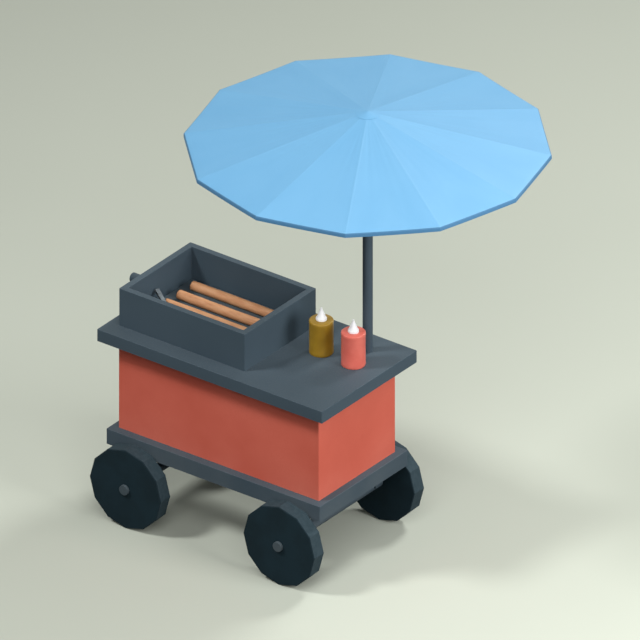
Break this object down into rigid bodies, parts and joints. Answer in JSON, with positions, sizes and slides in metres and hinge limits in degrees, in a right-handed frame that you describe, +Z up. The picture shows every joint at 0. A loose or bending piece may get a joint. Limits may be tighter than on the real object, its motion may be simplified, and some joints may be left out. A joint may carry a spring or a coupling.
{
  "type": "hot dog cart",
  "caption": "Four-wheeled street food cart with a red cabinet, dark overhanging counter, open griddle box, sauce bottles and a folding blue parasol.",
  "frame": {"origin": "on the floor, under the middle of the object's box, which reaches from the end handle to the parasol's far corner", "axes": "+Z up; -Y towards the customers, the long red side; +X towards the parasol's end"},
  "size_m": [1.9206, 1.6082, 2.0877],
  "materials": {
    "slate_paint": "satin enamel",
    "red_paint": "satin enamel",
    "tyre_rubber": "matt solid rubber",
    "bare_steel": "mill finish",
    "cap_paint": "satin enamel",
    "griddle_iron": "seasoned",
    "gas_brass": "drawn",
    "cylinder_shell": "wound composite",
    "knob_plastic": "moulded",
    "mast_paint": "satin enamel",
    "rib_metal": "anodised",
    "canopy_cloth": "plain weave",
    "sausage": "smooth casing",
    "mustard_plastic": "moulded",
    "ketchup_plastic": "moulded",
    "nozzle_plastic": "moulded",
    "tongs_steel": "brushed"
  },
  "bodies": {
    "cart": {"chassis_frame": "slate_paint", "axles": "slate_paint", "axle_end_caps": "cap_paint", "cabinet_shell": "red_paint", "counter_top": "slate_paint", "mast_socket": "bare_steel", "grill_box": "slate_paint", "grill_liner": "slate_paint", "burner_tray": "bare_steel", "burner": "bare_steel", "gas_valve_and_pipe": "gas_brass", "gas_cylinder": "cylinder_shell", "end_handle": "slate_paint"},
    "wheel_front_left": {"tyre_front_left": "tyre_rubber", "hub_front_left": "bare_steel"},
    "wheel_front_right": {"tyre_front_right": "tyre_rubber", "hub_front_right": "bare_steel"},
    "wheel_rear_left": {"tyre_rear_left": "tyre_rubber", "hub_rear_left": "bare_steel"},
    "wheel_rear_right": {"tyre_rear_right": "tyre_rubber", "hub_rear_right": "bare_steel"},
    "door_left": {"door_left": "red_paint"},
    "door_right": {"door_right": "red_paint"},
    "control_knob": {"control_knob": "knob_plastic"},
    "griddle": {"griddle_plate": "griddle_iron", "sausages": "sausage"},
    "tongs": {"tongs": "tongs_steel"},
    "mustard_bottle": {"mustard_bottle": "mustard_plastic"},
    "mustard_nozzle": {"mustard_nozzle": "nozzle_plastic"},
    "ketchup_bottle": {"ketchup_bottle": "ketchup_plastic"},
    "ketchup_nozzle": {"ketchup_nozzle": "nozzle_plastic"},
    "mast": {"mast": "mast_paint", "crown": "mast_paint", "canopy": "canopy_cloth"},
    "runner": {"runner": "mast_paint"},
    "runner_knob": {"runner_knob": "knob_plastic"},
    "rib_01": {"rib_01": "rib_metal"},
    "strut_01": {"strut_01": "rib_metal"},
    "rib_02": {"rib_02": "rib_metal"},
    "strut_02": {"strut_02": "rib_metal"},
    "rib_03": {"rib_03": "rib_metal"},
    "strut_03": {"strut_03": "rib_metal"},
    "rib_04": {"rib_04": "rib_metal"},
    "strut_04": {"strut_04": "rib_metal"},
    "rib_05": {"rib_05": "rib_metal"},
    "strut_05": {"strut_05": "rib_metal"},
    "rib_06": {"rib_06": "rib_metal"},
    "strut_06": {"strut_06": "rib_metal"},
    "rib_07": {"rib_07": "rib_metal"},
    "strut_07": {"strut_07": "rib_metal"},
    "rib_08": {"rib_08": "rib_metal"},
    "strut_08": {"strut_08": "rib_metal"},
    "rib_09": {"rib_09": "rib_metal"},
    "strut_09": {"strut_09": "rib_metal"},
    "rib_10": {"rib_10": "rib_metal"},
    "strut_10": {"strut_10": "rib_metal"},
    "rib_11": {"rib_11": "rib_metal"},
    "strut_11": {"strut_11": "rib_metal"},
    "rib_12": {"rib_12": "rib_metal"},
    "strut_12": {"strut_12": "rib_metal"}
  },
  "joints": [
    {"name": "wheel_front_left_spin", "type": "hinge", "parent": "cart", "child": "wheel_front_left", "pos_m": [-0.69975, -0.5758, 0.1932], "axis": [0, 1, 0], "continuous": true},
    {"name": "wheel_front_right_spin", "type": "hinge", "parent": "cart", "child": "wheel_front_right", "pos_m": [0.13385, -0.5758, 0.1932], "axis": [0, 1, 0], "continuous": true},
    {"name": "wheel_rear_left_spin", "type": "hinge", "parent": "cart", "child": "wheel_rear_left", "pos_m": [-0.69975, 0.146, 0.1932], "axis": [0, 1, 0], "continuous": true},
    {"name": "wheel_rear_right_spin", "type": "hinge", "parent": "cart", "child": "wheel_rear_right", "pos_m": [0.13385, 0.146, 0.1932], "axis": [0, 1, 0], "continuous": true},
    {"name": "door_left_swing", "type": "hinge", "parent": "cart", "child": "door_left", "pos_m": [-0.80045, 0.07885, 0.46], "axis": [0, 0, 1], "range_deg": [0, 110]},
    {"name": "door_right_swing", "type": "hinge", "parent": "cart", "child": "door_right", "pos_m": [0.23455, 0.07885, 0.46], "axis": [0, 0, -1], "range_deg": [0, 110]},
    {"name": "control_knob_turn", "type": "hinge", "parent": "cart", "child": "control_knob", "pos_m": [-0.49685, 0.1301, 0.871], "axis": [0, 1, 0], "range_deg": [0, 240]},
    {"name": "griddle_lift", "type": "slide", "parent": "cart", "child": "griddle", "axis": [0, 0, 1], "range_m": [0, 0.3]},
    {"name": "tongs_lift", "type": "slide", "parent": "griddle", "child": "tongs", "axis": [0, 0, 1], "range_m": [0, 0.3]},
    {"name": "mustard_lift", "type": "slide", "parent": "cart", "child": "mustard_bottle", "axis": [0, 0, 1], "range_m": [0, 0.3]},
    {"name": "mustard_nozzle_twist", "type": "hinge", "parent": "mustard_bottle", "child": "mustard_nozzle", "pos_m": [0.00505, -0.1334, 1.062], "axis": [0, 0, 1], "range_deg": [0, 360]},
    {"name": "ketchup_lift", "type": "slide", "parent": "cart", "child": "ketchup_bottle", "axis": [0, 0, 1], "range_m": [0, 0.3]},
    {"name": "ketchup_nozzle_twist", "type": "hinge", "parent": "ketchup_bottle", "child": "ketchup_nozzle", "pos_m": [0.18055, -0.1354, 1.062], "axis": [0, 0, 1], "range_deg": [0, 360]},
    {"name": "mast_lift", "type": "slide", "parent": "cart", "child": "mast", "axis": [0, 0, 1], "range_m": [0, 0.5]},
    {"name": "runner_slide", "type": "slide", "parent": "mast", "child": "runner", "axis": [0, 0, 1], "range_m": [-0.61189, 0], "deforming": ["canopy"]},
    {"name": "runner_knob_turn", "type": "hinge", "parent": "runner", "child": "runner_knob", "pos_m": [0.14269, 0.05023, 1.84811], "axis": [-0.2588, 0.9659, 0], "range_deg": [0, 180]},
    {"name": "rib_01_fold", "type": "hinge", "parent": "mast", "child": "rib_01", "pos_m": [0.19615, 0, 2.071], "axis": [0, 1, 0], "range_deg": [0, 71.5]},
    {"name": "strut_01_fold", "type": "hinge", "parent": "rib_01", "child": "strut_01", "pos_m": [0.58532, 0, 1.97855], "axis": [0, 1, 0], "range_deg": [-143, 0]},
    {"name": "rib_02_fold", "type": "hinge", "parent": "mast", "child": "rib_02", "pos_m": [0.19079, 0.02, 2.071], "axis": [-0.5, 0.866, 0], "range_deg": [0, 71.5]},
    {"name": "strut_02_fold", "type": "hinge", "parent": "rib_02", "child": "strut_02", "pos_m": [0.52782, 0.21458, 1.97855], "axis": [-0.5, 0.866, 0], "range_deg": [-143, 0]},
    {"name": "rib_03_fold", "type": "hinge", "parent": "mast", "child": "rib_03", "pos_m": [0.17615, 0.03464, 2.071], "axis": [-0.866, 0.5, 0], "range_deg": [0, 71.5]},
    {"name": "strut_03_fold", "type": "hinge", "parent": "rib_03", "child": "strut_03", "pos_m": [0.37073, 0.37167, 1.97855], "axis": [-0.866, 0.5, 0], "range_deg": [-143, 0]},
    {"name": "rib_04_fold", "type": "hinge", "parent": "mast", "child": "rib_04", "pos_m": [0.15615, 0.04, 2.071], "axis": [-1, 0, 0], "range_deg": [0, 71.5]},
    {"name": "strut_04_fold", "type": "hinge", "parent": "rib_04", "child": "strut_04", "pos_m": [0.15615, 0.42917, 1.97855], "axis": [-1, 0, 0], "range_deg": [-143, 0]},
    {"name": "rib_05_fold", "type": "hinge", "parent": "mast", "child": "rib_05", "pos_m": [0.13615, 0.03464, 2.071], "axis": [-0.866, -0.5, 0], "range_deg": [0, 71.5]},
    {"name": "strut_05_fold", "type": "hinge", "parent": "rib_05", "child": "strut_05", "pos_m": [-0.05844, 0.37167, 1.97855], "axis": [-0.866, -0.5, 0], "range_deg": [-143, 0]},
    {"name": "rib_06_fold", "type": "hinge", "parent": "mast", "child": "rib_06", "pos_m": [0.12151, 0.02, 2.071], "axis": [-0.5, -0.866, 0], "range_deg": [0, 71.5]},
    {"name": "strut_06_fold", "type": "hinge", "parent": "rib_06", "child": "strut_06", "pos_m": [-0.21552, 0.21458, 1.97855], "axis": [-0.5, -0.866, 0], "range_deg": [-143, 0]},
    {"name": "rib_07_fold", "type": "hinge", "parent": "mast", "child": "rib_07", "pos_m": [0.11615, 0, 2.071], "axis": [0, -1, 0], "range_deg": [0, 71.5]},
    {"name": "strut_07_fold", "type": "hinge", "parent": "rib_07", "child": "strut_07", "pos_m": [-0.27302, 0, 1.97855], "axis": [0, -1, 0], "range_deg": [-143, 0]},
    {"name": "rib_08_fold", "type": "hinge", "parent": "mast", "child": "rib_08", "pos_m": [0.12151, -0.02, 2.071], "axis": [0.5, -0.866, 0], "range_deg": [0, 71.5]},
    {"name": "strut_08_fold", "type": "hinge", "parent": "rib_08", "child": "strut_08", "pos_m": [-0.21552, -0.21458, 1.97855], "axis": [0.5, -0.866, 0], "range_deg": [-143, 0]},
    {"name": "rib_09_fold", "type": "hinge", "parent": "mast", "child": "rib_09", "pos_m": [0.13615, -0.03464, 2.071], "axis": [0.866, -0.5, 0], "range_deg": [0, 71.5]},
    {"name": "strut_09_fold", "type": "hinge", "parent": "rib_09", "child": "strut_09", "pos_m": [-0.05844, -0.37167, 1.97855], "axis": [0.866, -0.5, 0], "range_deg": [-143, 0]},
    {"name": "rib_10_fold", "type": "hinge", "parent": "mast", "child": "rib_10", "pos_m": [0.15615, -0.04, 2.071], "axis": [1, 0, 0], "range_deg": [0, 71.5]},
    {"name": "strut_10_fold", "type": "hinge", "parent": "rib_10", "child": "strut_10", "pos_m": [0.15615, -0.42917, 1.97855], "axis": [1, 0, 0], "range_deg": [-143, 0]},
    {"name": "rib_11_fold", "type": "hinge", "parent": "mast", "child": "rib_11", "pos_m": [0.17615, -0.03464, 2.071], "axis": [0.866, 0.5, 0], "range_deg": [0, 71.5]},
    {"name": "strut_11_fold", "type": "hinge", "parent": "rib_11", "child": "strut_11", "pos_m": [0.37073, -0.37167, 1.97855], "axis": [0.866, 0.5, 0], "range_deg": [-143, 0]},
    {"name": "rib_12_fold", "type": "hinge", "parent": "mast", "child": "rib_12", "pos_m": [0.19079, -0.02, 2.071], "axis": [0.5, 0.866, 0], "range_deg": [0, 71.5]},
    {"name": "strut_12_fold", "type": "hinge", "parent": "rib_12", "child": "strut_12", "pos_m": [0.52782, -0.21458, 1.97855], "axis": [0.5, 0.866, 0], "range_deg": [-143, 0]}
  ],
  "couplings": [
    {"joint": "rib_01_fold", "follows": "runner_slide", "rad_per_m": -2.0394},
    {"joint": "strut_01_fold", "follows": "runner_slide", "rad_per_m": 4.0788},
    {"joint": "rib_02_fold", "follows": "runner_slide", "rad_per_m": -2.0394},
    {"joint": "strut_02_fold", "follows": "runner_slide", "rad_per_m": 4.0788},
    {"joint": "rib_03_fold", "follows": "runner_slide", "rad_per_m": -2.0394},
    {"joint": "strut_03_fold", "follows": "runner_slide", "rad_per_m": 4.0788},
    {"joint": "rib_04_fold", "follows": "runner_slide", "rad_per_m": -2.0394},
    {"joint": "strut_04_fold", "follows": "runner_slide", "rad_per_m": 4.0788},
    {"joint": "rib_05_fold", "follows": "runner_slide", "rad_per_m": -2.0394},
    {"joint": "strut_05_fold", "follows": "runner_slide", "rad_per_m": 4.0788},
    {"joint": "rib_06_fold", "follows": "runner_slide", "rad_per_m": -2.0394},
    {"joint": "strut_06_fold", "follows": "runner_slide", "rad_per_m": 4.0788},
    {"joint": "rib_07_fold", "follows": "runner_slide", "rad_per_m": -2.0394},
    {"joint": "strut_07_fold", "follows": "runner_slide", "rad_per_m": 4.0788},
    {"joint": "rib_08_fold", "follows": "runner_slide", "rad_per_m": -2.0394},
    {"joint": "strut_08_fold", "follows": "runner_slide", "rad_per_m": 4.0788},
    {"joint": "rib_09_fold", "follows": "runner_slide", "rad_per_m": -2.0394},
    {"joint": "strut_09_fold", "follows": "runner_slide", "rad_per_m": 4.0788},
    {"joint": "rib_10_fold", "follows": "runner_slide", "rad_per_m": -2.0394},
    {"joint": "strut_10_fold", "follows": "runner_slide", "rad_per_m": 4.0788},
    {"joint": "rib_11_fold", "follows": "runner_slide", "rad_per_m": -2.0394},
    {"joint": "strut_11_fold", "follows": "runner_slide", "rad_per_m": 4.0788},
    {"joint": "rib_12_fold", "follows": "runner_slide", "rad_per_m": -2.0394},
    {"joint": "strut_12_fold", "follows": "runner_slide", "rad_per_m": 4.0788}
  ]
}
